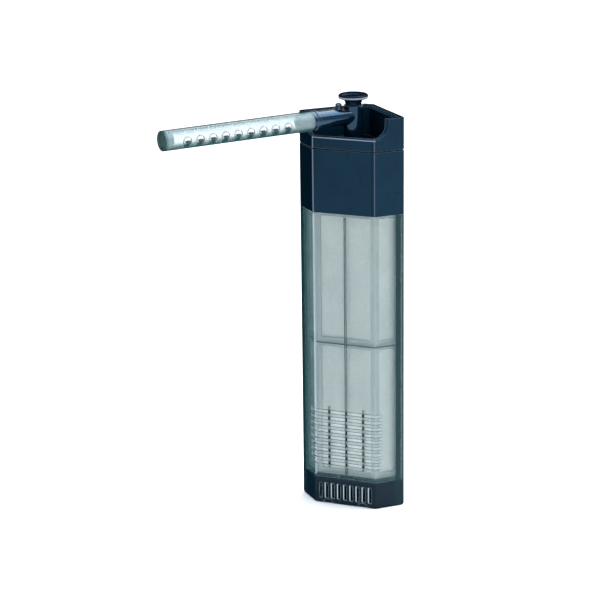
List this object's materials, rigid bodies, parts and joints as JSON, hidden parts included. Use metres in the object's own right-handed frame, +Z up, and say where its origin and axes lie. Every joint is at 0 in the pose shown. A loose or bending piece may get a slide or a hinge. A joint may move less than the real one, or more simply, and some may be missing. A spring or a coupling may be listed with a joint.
{
  "type": "internal power filter",
  "caption": "Corner internal power filter with a pump head, clear media canister, two foam baskets, suction cups and a swivelling spray bar outlet with a flow knob",
  "frame": {"origin": "On the vertical axis that the outlet swivels on, in the flat plane that the canister stands on", "axes": "+Z up; +Y towards the corner of the tank, so the two walls with suction cups face +X+Y and -X+Y; +X to the right seen from the front"},
  "size_m": [0.1258, 0.1446, 0.276],
  "materials": {
    "smoked_clear": "clear smoke-grey moulded plastic, polished",
    "grey_plastic": "grey moulded plastic, satin",
    "white_foam": "white open-cell filter foam",
    "cup_rubber": "dark soft rubber, smooth",
    "navy_plastic": "navy-black moulded plastic, semi-gloss",
    "elbow_plastic": "navy-black moulded plastic, semi-gloss",
    "bar_clear": "clear plastic with an aqua tint, polished",
    "impeller_plastic": "grey acetal, satin",
    "seal_rubber": "black rubber, matt",
    "shaft_ceramic": "white ceramic, ground",
    "magnet_ferrite": "sintered ferrite, ground",
    "core_steel": "stacked silicon-steel laminations",
    "bobbin_plastic": "off-white glass-filled plastic",
    "coil_copper": "enamelled copper wire",
    "potting_resin": "black casting resin"
  },
  "bodies": {
    "base": {"canister": "smoked_clear", "media_grid": "grey_plastic", "suction_cup_lower_left": "cup_rubber", "suction_cup_lower_right": "cup_rubber", "suction_cup_upper_left": "cup_rubber", "suction_cup_upper_right": "cup_rubber"},
    "pump_head": {"motor_housing": "navy_plastic", "latch_left": "navy_plastic", "latch_right": "navy_plastic", "chamber_cover": "navy_plastic", "lower_bush": "seal_rubber", "upper_bush": "seal_rubber", "impeller_shaft": "shaft_ceramic", "stator_core": "core_steel", "bobbin_left": "bobbin_plastic", "bobbin_right": "bobbin_plastic", "winding_left": "coil_copper", "winding_right": "coil_copper", "potting_block": "potting_resin", "cable_gland": "seal_rubber", "cover_seal": "seal_rubber", "duct_seal": "seal_rubber", "top_cover": "navy_plastic", "riser_ring": "seal_rubber"},
    "lower_cartridge": {"lower_basket": "grey_plastic", "lower_foam": "white_foam"},
    "upper_cartridge": {"upper_basket": "grey_plastic", "upper_foam": "white_foam"},
    "impeller": {"impeller": "impeller_plastic", "impeller_magnet": "magnet_ferrite"},
    "outlet": {"outlet_elbow": "elbow_plastic"},
    "flow_control": {"flow_knob": "elbow_plastic", "valve_plug": "elbow_plastic", "valve_ring": "seal_rubber"},
    "spray": {"spray_bar": "bar_clear", "bar_end_cap": "bar_clear"}
  },
  "joints": [
    {"name": "head_lift", "type": "slide", "parent": "base", "child": "pump_head", "axis": [0, 0, 1], "range_m": [0, 0.26]},
    {"name": "upper_cartridge_lift", "type": "slide", "parent": "base", "child": "upper_cartridge", "axis": [0, 0, 1], "range_m": [0, 0.222]},
    {"name": "lower_cartridge_lift", "type": "slide", "parent": "base", "child": "lower_cartridge", "axis": [0, 0, 1], "range_m": [0, 0.187]},
    {"name": "impeller_spin", "type": "hinge", "parent": "pump_head", "child": "impeller", "pos_m": [0, 0.0119, 0.222], "axis": [0, 0, 1], "continuous": true},
    {"name": "outlet_swivel", "type": "hinge", "parent": "pump_head", "child": "outlet", "pos_m": [0, 0, 0.25], "axis": [0, 0, 1], "range_deg": [-15, 90]},
    {"name": "flow_knob_turn", "type": "hinge", "parent": "outlet", "child": "flow_control", "pos_m": [0, 0, 0.27], "axis": [0, 0, 1], "range_deg": [0, 90]},
    {"name": "spray_bar_roll", "type": "hinge", "parent": "outlet", "child": "spray", "pos_m": [0, 0, 0.262], "axis": [-0.6101, -0.7923, 0], "continuous": true}
  ],
  "couplings": [
    {"joint": "upper_cartridge_lift", "follows": "head_lift", "ratio": 0.85},
    {"joint": "lower_cartridge_lift", "follows": "head_lift", "ratio": 0.715}
  ]
}
